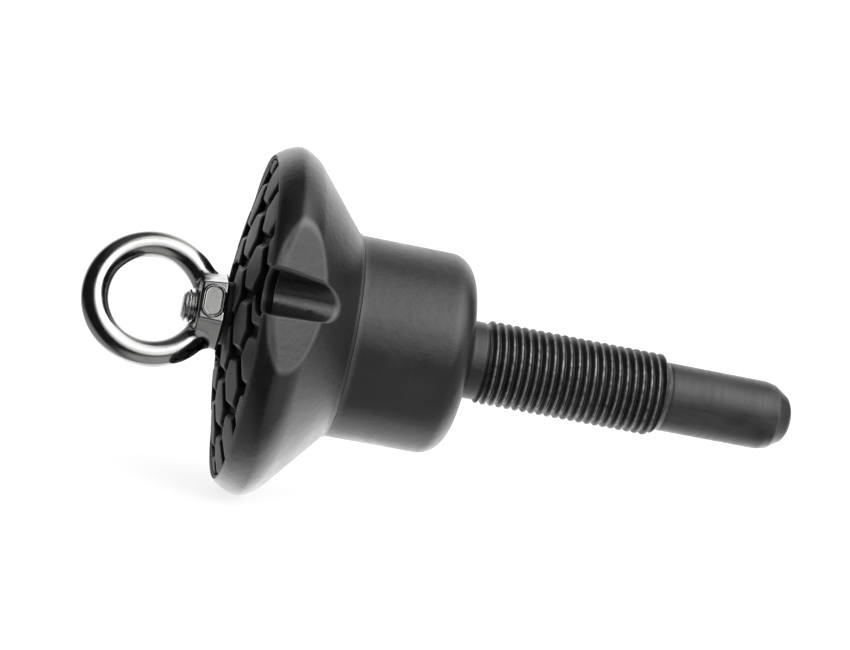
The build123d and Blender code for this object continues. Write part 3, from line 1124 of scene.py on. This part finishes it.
@dataclass
class ScrewStud:
    """Hexagon head, plain neck, coarse thread with a few dings, and a pilot nose."""

    finish: BlackedSteel
    head_floor: float = -8.0
    head_half: float = 15.0
    rod_hole: float = 4.02
    neck_radius: float = 9.3
    neck_end: float = 5.8
    thread_end: float = 50.4
    nose_radius: float = 8.3
    edge_back: float = 4.3
    thread: Helix = Helix(5.9, 50.3, 2.0, 8.8, 10.0)

    def dings(self, x: Array, angles: Array, height: Array) -> Array:
        """Small raised dents on the thread's crests.

        Each is a bell curve in x and in the length round the crest.

        Args:
            x: Positions along the axis.
            angles: Angles about X.
            height: The thread's height.

        Returns:
            Extra height in millimetres.
        """
        extra = np.zeros_like(height)
        for place, turn, size, rise in ((11.8, 165.0, 0.75, 0.42), (21.6, 120.0, 0.6, 0.22),
                                        (37.2, -40.0, 0.6, -0.18), (43.1, 60.0, 0.6, -0.15)):
            round_it = np.angle(np.exp(1j * (angles - math.radians(turn)))) * self.thread.crest
            extra += rise * np.exp(-((x - place) ** 2 + round_it**2) / size**2)
        return extra * np.clip(height, 0.0, 1.0)

    def build(self) -> bpy.types.Object:
        """Makes the stud as a turned outline, with a hexagon head and the thread's height on top.

        Returns:
            The finished piece.
        """
        start, end, _ = node_span("screw_stud")
        chamfer = end - self.edge_back
        head = rounded_outline([
            (0.0, 0.02, 0.0),
            (0.0, self.rod_hole, 0.0),
            (start, self.rod_hole, 0.3),
            (start, self.head_half, 0.6),
            (self.head_floor, self.head_half, 0.4),
            (self.head_floor, self.neck_radius, 0.3),
            (1.35, self.neck_radius, 0.0),
        ], 1.5, closed=False)
        neck = rounded_outline([
            (1.5, self.neck_radius - 0.10, 0.0),
            (1.9, self.neck_radius - 0.10, 0.0),
            (2.0, self.neck_radius, 0.0),
            (self.neck_end - 0.25, self.neck_radius, 0.0),
            (self.neck_end, self.thread.root, 0.0),
        ], 0.5, closed=False)
        threaded = np.arange(self.neck_end + 0.08, self.thread_end - 0.02, 0.1)
        thread = np.stack([threaded, np.full_like(threaded, self.thread.root)], axis=1)
        nose = rounded_outline([
            (self.thread_end, self.thread.root, 0.0),
            (self.thread_end + 0.25, self.nose_radius, 0.0),
            (self.thread_end + 0.9, self.nose_radius, 0.0),
            (self.thread_end + 1.0, self.nose_radius - 0.06, 0.0),
            (self.thread_end + 1.2, self.nose_radius - 0.06, 0.0),
            (self.thread_end + 1.3, self.nose_radius, 0.0),
            (chamfer - 2.2, self.nose_radius, 5.0),
            (chamfer, self.nose_radius - 0.5, 0.5),
            (end - 0.9, self.nose_radius - 2.7, 1.6),
            (end, self.nose_radius - 4.1, 1.0),
            (end, 0.02, 0.0),
        ], 0.8, closed=False)
        profile = np.concatenate([head, neck, thread, nose])
        angles = even_angles(120)
        x = profile[:, :1] + 0.0 * angles
        radius = profile[:, 1:2] + 0.0 * angles
        on_head = (profile[:, :1] <= self.head_floor) & (profile[:, 1:2] > self.neck_radius + 0.3)
        corner = smooth_step((profile[:, 1:2] - self.rod_hole - 2.0) / 6.0)
        hexagon = np.minimum(radius * hexagon_radius(angles, 1.0, 90.0), 16.9)
        hexagonal = on_head | (profile[:, :1] < start + 0.4)
        radius = np.where(hexagonal, radius + (hexagon - radius) * corner, radius)
        height = self.thread.height(x, angles)
        radius = radius + np.where((x > self.neck_end) & (x < self.thread_end), height, 0.0)
        radius = radius + self.dings(x, angles, height)
        depth = self.thread.crest - self.thread.root
        wear_and_highlight = 0.55 * smooth_step((height / depth - 0.82) / 0.18)
        step = self.thread_end + 0.5
        for place, share, width in ((chamfer, 0.12, 0.5), (1.45, 0.7, 0.25), (step, 0.5, 0.5)):
            wear_and_highlight = np.maximum(wear_and_highlight, share * nearness(x, place, width))
        piece = build_mesh("threaded_stud", [Surface(around_x(profile, angles, radius), cap_ends=True)],
                           {"wear_and_highlight": wear_and_highlight})
        return settle(piece, self.finish.material(), Body.ANCHOR, "screw_stud")


# ---------------------------------------------------------------- rod, washers and eye nut


@dataclass
class CoreRod:
    """M8 rod with its thread cut where the eye nut runs."""

    finish: PlatedSteel
    radius: float = 4.0
    chamfer: float = 0.6
    thread_to: float = -50.5
    pitch: float = 1.25
    root: float = 3.4

    def build(self) -> bpy.types.Object:
        """Makes the rod as a turned outline with the thread's height on top.

        Returns:
            The finished piece.
        """
        start, end, _ = node_span("core_rod")
        thread = Helix(start + self.chamfer * 0.6, self.thread_to, self.pitch, self.root, self.radius - 0.01,
                       fade=0.6)
        tip = rounded_outline([
            (start, 0.02, 0.0),
            (start, self.root - self.chamfer, 0.2),
            (start + self.chamfer, self.root, 0.0),
        ], 0.5, closed=False)
        rows = np.arange(start + self.chamfer + 0.07, self.thread_to - 0.02, 0.078)
        middle = np.stack([rows, np.full_like(rows, self.root)], axis=1)
        shank = rounded_outline([
            (self.thread_to, self.root, 0.0),
            (self.thread_to + 0.5, self.radius, 0.0),
            (end, self.radius, 0.4),
            (end, 0.02, 0.0),
        ], 2.0, closed=False)
        profile = np.concatenate([tip, middle, shank])
        angles = even_angles(84)
        x = profile[:, :1] + 0.0 * angles
        height = thread.height(x, angles)
        radius = profile[:, 1:2] + np.where(x < self.thread_to, height, 0.0)
        piece = build_mesh("threaded_rod", [Surface(around_x(profile, angles, radius), cap_ends=True)])
        return settle(piece, self.finish.material(), Body.ANCHOR, "core_rod")


@dataclass
class Washers:
    """Wide clamp washer and the split spring washer under the eye nut."""

    clamp_finish: BlackedSteel
    spring_finish: BlackedSteel
    clamp_hole: float = 4.3
    spring_hole: float = 4.1
    gap: float = 1.4
    slant: float = 25.0

    def clamp(self) -> bpy.types.Object:
        """Makes the clamp washer: a rounded rectangle turned about X.

        Returns:
            The finished piece.
        """
        start, end, radius = node_span("clamp_washer")
        profile = rounded_outline([
            (start, self.clamp_hole, 0.25),
            (start, radius, 0.45),
            (end, radius, 0.3),
            (end, self.clamp_hole, 0.2),
        ], 0.9, closed=True)[:-1]
        angles = even_angles(160)
        near = nearness(profile[:, :1] + 0.0 * angles, start + 0.15, 0.4)
        wear_and_highlight = np.where(profile[:, 1:2] > radius - 0.7, near * 0.7, 0.0)
        piece = build_mesh("wide_clamp_washer", [Surface(around_x(profile, angles), wrap_rows=True)],
                           {"wear_and_highlight": wear_and_highlight})
        return settle(piece, self.clamp_finish.material(), Body.ANCHOR, "clamp_washer")

    def spring(self) -> bpy.types.Object:
        """Makes the spring washer: a rounded rectangle carried from one cut end to the other.

        The cut leans, so at each x it stands at x tan(slant) across, and a point at a radius
        starts and ends at the angle whose sine is that distance, less or more half the gap, over
        the radius.

        Returns:
            The finished piece.
        """
        start, end, radius = node_span("spring_washer")
        section = rounded_outline([
            (start, self.spring_hole, 0.2),
            (start, radius, 0.3),
            (end, radius, 0.3),
            (end, self.spring_hole, 0.2),
        ], 0.5, closed=True)[:-1]
        middle = (start + end) / 2.0
        lean = (section[:, 0] - middle) * math.tan(math.radians(self.slant))
        half = self.gap / 2.0 / math.cos(math.radians(self.slant))
        first = np.arcsin((lean + half) / section[:, 1])
        last = 2.0 * math.pi + np.arcsin((lean - half) / section[:, 1])
        share = np.linspace(0.0, 1.0, 110)[:, None]
        turn = first + (last - first) * share
        x = np.broadcast_to(section[:, 0], turn.shape)
        r = np.broadcast_to(section[:, 1], turn.shape)
        grid = np.stack([x, r * np.sin(turn), r * np.cos(turn)], axis=-1)
        piece = build_mesh("split_spring_washer", [Surface(grid, cap_ends=True)])
        return settle(piece, self.spring_finish.material(), Body.WASHER, "spring_washer")


@dataclass
class EyeNut:
    """Cast ring that flows into a tapered hexagon hub with a plain raised panel lip."""

    finish: PolishedCast
    base_half: float = 8.3
    top_half: float = 7.6
    hub_length: float = 6.25
    ring_radius: float = 13.15
    ring_section: float = 3.15
    bore: float = 4.06
    turn: float = -21.0
    blend: float = 0.8
    edge_round: float = 0.6
    lip_length: float = 7.8
    lip_width: float = 5.1
    lip_band: float = 0.6
    lip_height: float = 0.35
    lip_corner: float = 2.3
    voxel: float = 0.20

    def distance(self, p: Array) -> Array:
        """Signed distance of points from the nut, before its turn.

        The ring is sqrt((sqrt(x^2 + z^2) - R)^2 + y^2) - r. The hub is a tapered hexagon cut by
        two ends with rounded edges, and its facets' height carries the lip. The two join by a
        smooth minimum, and the bore is taken out by a smooth maximum.

        Args:
            p: Points as rows, in millimetres.

        Returns:
            The distance of each point.
        """
        start, end, _ = node_span("eye_nut")
        centre = start + self.ring_radius + self.ring_section
        x, y, z = p[:, 0], p[:, 1], p[:, 2]
        ring = np.hypot(np.hypot(x - centre, z) - self.ring_radius, y) - self.ring_section
        top = end - self.hub_length
        share = np.clip((end - x) / self.hub_length, -0.2, 1.4)
        half = self.base_half + (self.top_half - self.base_half) * share
        angle = np.arctan2(z, y)
        normals = np.radians(60.0 * np.arange(6))
        away = np.hypot(y, z)[:, None] * np.cos(angle[:, None] - normals)
        facets = away - half[:, None]
        lip = self.lip_rise(x - (end + top) / 2.0, z)
        facets[:, 0] -= lip
        facets[:, 3] -= lip
        sharp = 5.0
        nearest = facets.max(axis=1, keepdims=True)
        sides = np.log(np.exp(np.clip(sharp * (facets - nearest), -60, 0)).sum(axis=1))
        sides = sides / sharp + nearest[:, 0]
        ends = np.maximum(x - end, top - x)
        r = self.edge_round
        corner = np.hypot(np.maximum(sides + r, 0.0), np.maximum(ends + r, 0.0))
        hub = corner + np.minimum(np.maximum(sides + r, ends + r), 0.0) - r
        joined = smooth_min(ring, hub, self.blend * 2.0)
        bore = np.where(x > centre, self.bore - np.hypot(y, z), -9.0)
        return -smooth_min(-joined, -bore, 0.5)

    def lip_rise(self, along_x: Array, along_z: Array) -> Array:
        """Height of the lip, a rounded rectangle.

        The distance to its edge is the length of (z, x) beyond the corner's middle, less the
        corner's radius, and the lip stands between that edge and one band further in.

        Args:
            along_x: Distance from the panel's middle along X.
            along_z: Distance from the panel's middle along the facet.

        Returns:
            The height in millimetres.
        """
        beyond_x = np.abs(along_x) - (self.lip_width / 2.0 - self.lip_corner)
        beyond_z = np.abs(along_z) - (self.lip_length / 2.0 - self.lip_corner)
        outside = np.hypot(np.maximum(beyond_x, 0.0), np.maximum(beyond_z, 0.0))
        edge = outside + np.minimum(np.maximum(beyond_x, beyond_z), 0.0) - self.lip_corner
        middle = np.abs(edge + self.lip_band / 2.0)
        return self.lip_height * (1.0 - smooth_step((middle - 0.10) / (self.lip_band / 2.0)))

    def rough_shape(self) -> bpy.types.Object:
        """A torus and a hexagon drum joined by a voxel remesh, as a start for the exact shape.

        Returns:
            A temporary object in millimetres.
        """
        start, end, _ = node_span("eye_nut")
        centre = start + self.ring_radius + self.ring_section
        u, v = even_angles(120)[:, None], even_angles(40)[None]
        ring = self.ring_radius + self.ring_section * np.cos(v)
        torus = np.stack([centre + ring * np.cos(u), self.ring_section * np.sin(v) + 0.0 * u,
                          ring * np.sin(u)], axis=-1)
        angles = even_angles(96)
        drum = rounded_outline([
            (end - self.hub_length, 0.01, 0.0),
            (end - self.hub_length, self.top_half, 0.0),
            (end, self.base_half, 0.0),
            (end, self.bore, 0.0),
            (end - self.hub_length + 0.5, self.bore, 0.0),
            (end - self.hub_length + 0.5, 0.01, 0.0),
        ], 0.6, closed=False)
        grown = hexagon_radius(angles - math.radians(30.0), 1.0)
        scale = np.where(drum[:, 1:2] > self.bore + 0.01, grown, 1.0)
        hub = around_x(drum, angles, drum[:, 1:2] * scale)
        return build_mesh("rough_nut", [Surface(torus, wrap_rows=True), Surface(hub, cap_ends=True)])

    def build(self) -> bpy.types.Object:
        """Makes the eye nut: the rough shape's vertices slide along the distance to its zero.

        Returns:
            The finished piece.
        """
        rough = self.rough_shape()
        remesh = rough.modifiers.new("voxels", "REMESH")
        remesh.mode = "VOXEL"
        remesh.voxel_size = self.voxel * MM
        evaluated = rough.evaluated_get(bpy.context.evaluated_depsgraph_get())
        mesh = bpy.data.meshes.new_from_object(evaluated)
        self.refine_panels(mesh)
        count = len(mesh.vertices)
        flat = np.empty(count * 3, np.float32)
        mesh.vertices.foreach_get("co", flat)
        p = flat.reshape(-1, 3).astype(float) / MM
        steps = np.eye(3) * 1e-3
        for _ in range(9):
            d = self.distance(p)
            slope = np.stack([(self.distance(p + s) - self.distance(p - s)) / 2e-3 for s in steps], axis=1)
            move = d[:, None] * slope / np.maximum((slope**2).sum(axis=1, keepdims=True), 0.05)
            p = p - np.clip(move, -0.3, 0.3)
        a = math.radians(self.turn)
        y, z = p[:, 1] * math.cos(a) - p[:, 2] * math.sin(a), p[:, 1] * math.sin(a) + p[:, 2] * math.cos(a)
        placed = np.stack([p[:, 0], y, z], axis=1) * MM
        mesh.vertices.foreach_set("co", placed.astype(np.float32).ravel())
        mesh.polygons.foreach_set("use_smooth", np.ones(len(mesh.polygons), bool))
        mesh.update()
        mesh.name = "cast_eye_nut"
        bpy.data.objects.remove(rough)
        piece = bpy.data.objects.new("cast_eye_nut", mesh)
        bpy.context.scene.collection.objects.link(piece)
        return settle(piece, self.finish.material(), Body.EYE, "eye_nut")

    def refine_panels(self, mesh: bpy.types.Mesh) -> None:
        """Divides the faces under the two lips once more."""
        _, end, _ = node_span("eye_nut")
        middle = (end - self.hub_length / 2.0) * MM
        work = bmesh.new()
        work.from_mesh(mesh)
        edges = [e for e in work.edges
                 if all(abs(v.co.y) > 7.0 * MM and abs(v.co.z) < 4.1 * MM and abs(v.co.x - middle) < 3.0 * MM
                        for v in e.verts)]
        bmesh.ops.subdivide_edges(work, edges=edges, cuts=1, use_grid_fill=True)
        work.to_mesh(mesh)
        work.free()


@dataclass
class HiddenHardware:
    """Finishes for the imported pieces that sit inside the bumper."""

    zinc: PlatedSteel
    bright: PlatedSteel

    def build(self) -> None:
        """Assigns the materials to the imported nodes' slots."""
        zinc, bright = self.zinc.material(), self.bright.material()
        for node, material in (("load_plate", zinc), ("spacer_tube", zinc), ("jam_nut", zinc),
                               ("drive_pins", bright)):
            for piece in node_objects(node):
                for place in piece.material_slots:
                    place.material = material
                if not piece.material_slots:
                    piece.data.materials.append(material)
            LOG.info("%s: packed shape, new finish", node)


def node_objects(node: str) -> list[bpy.types.Object]:
    """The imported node's Blender objects.

    Args:
        node: The node's name.

    Returns:
        The objects that carry it.
    """
    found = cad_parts[node]
    return [found] if isinstance(found, bpy.types.Object) else list(found)


# ---------------------------------------------------------------- studio


@dataclass(frozen=True)
class LightWindow:
    """A round soft light far away: its direction, its soft edge's angles, and its strength."""

    azimuth: float
    elevation: float
    inner: float
    outer: float
    strength: float

    def middle(self) -> tuple[float, float, float]:
        """Unit direction of its middle, with azimuth from +X towards +Y."""
        a, e = math.radians(self.azimuth), math.radians(self.elevation)
        return math.cos(a) * math.cos(e), math.sin(a) * math.cos(e), math.sin(e)


@dataclass
class Studio:
    """White floor and surroundings, soft light windows, and the camera."""

    yaw: float = 10.4
    roll: float = 10.93
    rise: float = 4.0
    distance: float = 521.3
    lens: float = 93.18
    picture: tuple[float, float] = (850.0, 650.0)
    origin_at: tuple[float, float] = (455.6, 356.8)
    background: float = 1.05
    fill: float = 0.02
    floor_size: float = 3.0
    windows: tuple[LightWindow, ...] = (
        LightWindow(-45.0, 50.0, 20.0, 42.0, 2.5),
        LightWindow(-72.0, 24.0, 12.0, 34.0, 2.1),
        LightWindow(-20.0, 20.0, 8.0, 30.0, 0.6),
        LightWindow(-68.0, -46.0, 15.0, 45.0, 0.6),
        LightWindow(70.0, -52.0, 20.0, 50.0, 1.8),
        LightWindow(88.0, 8.0, 25.0, 60.0, 0.9),
        LightWindow(90.0, 22.0, 8.0, 30.0, 0.8),
        LightWindow(-5.0, -15.0, 15.0, 50.0, 0.5),
        LightWindow(32.0, -26.0, 12.0, 36.0, 1.15),
        LightWindow(58.0, 16.0, 6.0, 26.0, 0.5),
        LightWindow(10.0, 85.0, 15.0, 50.0, 0.1),
        LightWindow(45.0, 52.0, 10.0, 32.0, 0.9),
        LightWindow(150.0, -50.0, 15.0, 50.0, 0.5),
    )

    def surroundings(self) -> None:
        """White background, and soft light windows that only light and reflections see.

        Each window adds its strength times a ramp of the cosine between a direction and its
        middle, from 0 at its outer angle to 1 at its inner angle.
        """
        world = bpy.data.worlds.new("studio")
        world.use_nodes = True
        tree = world.node_tree
        link = tree.links.new
        sky = tree.nodes["Background"]
        direction = tree.nodes.new("ShaderNodeTexCoord").outputs["Generated"]
        total = None
        for window in self.windows:
            towards = tree.nodes.new("ShaderNodeVectorMath")
            towards.operation = "DOT_PRODUCT"
            link(direction, towards.inputs[0])
            towards.inputs[1].default_value = window.middle()
            ramp = tree.nodes.new("ShaderNodeMapRange")
            ramp.interpolation_type = "SMOOTHSTEP"
            ramp.inputs["From Min"].default_value = math.cos(math.radians(window.outer))
            ramp.inputs["From Max"].default_value = math.cos(math.radians(window.inner))
            ramp.inputs["To Max"].default_value = window.strength
            link(towards.outputs["Value"], ramp.inputs["Value"])
            add = tree.nodes.new("ShaderNodeMath")
            add.operation = "ADD"
            link(ramp.outputs["Result"], add.inputs[0])
            if total is None:
                add.inputs[1].default_value = self.fill
            else:
                link(total, add.inputs[1])
            total = add.outputs[0]
        seen = tree.nodes.new("ShaderNodeLightPath").outputs["Is Camera Ray"]
        choice = tree.nodes.new("ShaderNodeMix")
        link(seen, choice.inputs["Factor"])
        link(total, choice.inputs["A"])
        choice.inputs["B"].default_value = self.background
        sky.inputs["Color"].default_value = (1.0, 1.0, 1.0, 1.0)
        link(choice.outputs["Result"], sky.inputs["Strength"])
        bpy.context.scene.world = world
        bpy.context.scene.view_settings.view_transform = "Standard"

    def floor(self) -> None:
        """Round pale floor just under the object, with a soft glow that keeps it white."""
        low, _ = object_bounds()
        angles = even_angles(96)
        radii = np.linspace(0.002, self.floor_size, 24)[:, None]
        grid = np.stack([radii * np.cos(angles), radii * np.sin(angles),
                         np.full((24, 96), low.z - 0.0002)], axis=-1) / MM
        under = grid[::-1] - np.array([0.0, 0.0, 4.0])
        sheet = build_mesh("studio_floor", [Surface(np.concatenate([grid, under]), cap_ends=True)])
        g = NodeGraph("floor_white")
        tone = g.blend(g.ramp(g.noise(9.0, 3.0), 0.3, 0.7), (0.27, 0.27, 0.27), (0.30, 0.30, 0.30))
        g.link(tone, g.shader.inputs["Base Color"])
        g.shader.inputs["Roughness"].default_value = 0.9
        g.shader.inputs["Specular IOR Level"].default_value = 0.0
        g.shader.inputs["Emission Color"].default_value = (1.0, 1.0, 1.0, 1.0)
        g.shader.inputs["Emission Strength"].default_value = 0.84
        dress(sheet, g.material)
        sheet.visible_glossy = False
        sheet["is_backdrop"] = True

    def key_light(self) -> None:
        """A square softbox high at the front, aimed at the object."""
        place = Vector(self.windows[0].middle()) * 0.95
        data = bpy.data.lights.new("key_softbox", "AREA")
        data.shape = "SQUARE"
        data.size = 0.42
        data.energy = 1.1
        lamp = bpy.data.objects.new("key_softbox", data)
        lamp.location = place
        lamp.rotation_euler = (-place).to_track_quat("-Z", "Y").to_euler()
        bpy.context.scene.collection.objects.link(lamp)

    def camera(self) -> None:
        """Places the camera from the object's axes as it sees them.

        The rows of its turn are the object's X, Y and Z axes in the camera's right, up and back
        directions.
        """
        yaw, roll, rise = (math.radians(a) for a in (self.yaw, self.roll, self.rise))
        along = Vector((math.cos(yaw) * math.cos(roll), -math.cos(yaw) * math.sin(roll), -math.sin(yaw)))
        up = Vector((math.sin(roll), math.cos(roll), 0.0))
        away = Vector((-math.sin(yaw) * math.cos(roll), math.sin(yaw) * math.sin(roll), -math.cos(yaw)))
        y_axis = math.cos(rise) * away + math.sin(rise) * up
        z_axis = math.cos(rise) * up - math.sin(rise) * away
        turn = Matrix((along, y_axis, z_axis))
        width, height = self.picture
        focal = self.lens / 36.0 * width
        across = (self.origin_at[0] - width / 2.0) / focal
        down = (self.origin_at[1] - height / 2.0) / focal
        offset = Vector((across, -down, -1.0)) * (self.distance * MM)
        data = bpy.data.cameras.new("camera")
        data.lens = self.lens
        data.sensor_width = 36.0
        data.clip_start = 0.01
        data.clip_end = 20.0
        rig = bpy.data.objects.new("camera", data)
        rig.matrix_world = Matrix.Translation(-(turn @ offset)) @ turn.to_4x4()
        bpy.context.scene.collection.objects.link(rig)
        bpy.context.scene.camera = rig

    def build(self) -> None:
        """Sets up the whole studio."""
        self.surroundings()
        self.floor()
        self.key_light()
        self.camera()


def main() -> None:
    """Builds the pieces in order, then the studio."""
    logging.basicConfig(level=logging.INFO, format="%(name)s: %(message)s")
    rubber = MouldedRubber("moulded_rubber")
    tread = MouldedRubber("tread_rubber", dark=(0.006, 0.006, 0.0062), light=(0.013, 0.013, 0.0134),
                          smoothest=0.38, roughest=0.55, edge_share=0.7, specular=0.32)
    plastic = MouldedRubber("collar_plastic", smoothest=0.28, roughest=0.42, grain_depth=0.013 * MM)
    blacked = BlackedSteel("blacked_steel")
    washer_black = BlackedSteel("washer_black", dark=(0.006, 0.006, 0.006), light=(0.012, 0.012, 0.012),
                                bare=(0.10, 0.10, 0.10), smoothest=0.42, roughest=0.6)
    zinc = PlatedSteel("zinc_steel")
    bright = PlatedSteel("bright_steel", pale=(0.62, 0.62, 0.61), deep=(0.30, 0.30, 0.30),
                         smoothest=0.16, roughest=0.38)
    slots = EdgeSlots()
    BumperBody(slots, rubber).build()
    TreadCap(slots, tread).build()
    Collar(plastic).build()
    ScrewStud(blacked).build()
    CoreRod(bright).build()
    washers = Washers(washer_black, washer_black)
    washers.clamp()
    washers.spring()
    EyeNut(PolishedCast("polished_cast")).build()
    HiddenHardware(zinc, bright).build()
    Studio().build()


if __name__ == "__main__":
    main()
